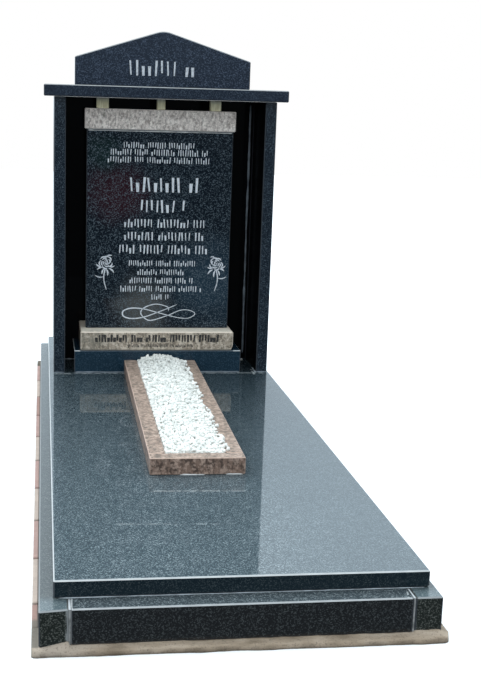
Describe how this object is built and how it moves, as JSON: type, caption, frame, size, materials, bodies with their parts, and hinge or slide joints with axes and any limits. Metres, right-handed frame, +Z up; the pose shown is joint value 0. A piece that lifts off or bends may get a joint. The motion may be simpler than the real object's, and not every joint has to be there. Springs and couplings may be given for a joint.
{
  "type": "full-length granite grave memorial with canopied headstone",
  "caption": "Polished dark granite grave memorial: kerb and ledger slab, canopied upright headstone with inscribed tablet, and a tray of white pebbles.",
  "frame": {"origin": "middle of the footing's underside, on the ground", "axes": "+Z up; +Y from the foot of the grave to the headstone, along the length; +X to the right as seen from the foot"},
  "size_m": [0.848, 2.572, 1.2941],
  "materials": {
    "dark_granite": "polished blue-black granite",
    "dark_granite_base": "polished blue-black granite, lightly dusty",
    "dark_granite_tablet": "polished blue-black granite, engraved and filled silver",
    "beige_granite": "honed beige granite",
    "brown_granite": "rough-polished pinkish brown granite",
    "cement": "rough cement mortar",
    "brick": "pale clay brick, weathered",
    "grout": "grey grout",
    "packing": "pale raw softwood",
    "pebble": "white tumbled marble"
  },
  "bodies": {
    "root": {"back_slab": "dark_granite", "base_block": "dark_granite", "bottom_bar": "beige_granite", "brick_left_01": "brick", "brick_left_02": "brick", "brick_left_03": "brick", "brick_left_04": "brick", "brick_left_05": "brick", "brick_left_06": "brick", "brick_left_07": "brick", "brick_left_08": "brick", "brick_left_09": "brick", "brick_left_10": "brick", "brick_right_01": "brick", "brick_right_02": "brick", "brick_right_03": "brick", "brick_right_04": "brick", "brick_right_05": "brick", "brick_right_06": "brick", "brick_right_07": "brick", "brick_right_08": "brick", "brick_right_09": "brick", "brick_right_10": "brick", "cap": "dark_granite", "cement_back": "cement", "cement_front": "cement", "grout_back_left": "grout", "grout_back_right": "grout", "grout_front_left": "grout", "grout_front_right": "grout", "kerb_back": "dark_granite_base", "kerb_front": "dark_granite_base", "kerb_left": "dark_granite_base", "kerb_right": "dark_granite_base", "ledger": "dark_granite_base", "packing_block_left": "packing", "packing_block_middle": "packing", "packing_block_right": "packing", "pebbles": "pebble", "pediment": "dark_granite", "side_slab_left": "dark_granite", "side_slab_right": "dark_granite", "tablet": "dark_granite_tablet", "top_bar": "beige_granite", "tray_front": "brown_granite", "tray_left": "brown_granite", "tray_right": "brown_granite"}
  },
  "joints": []
}
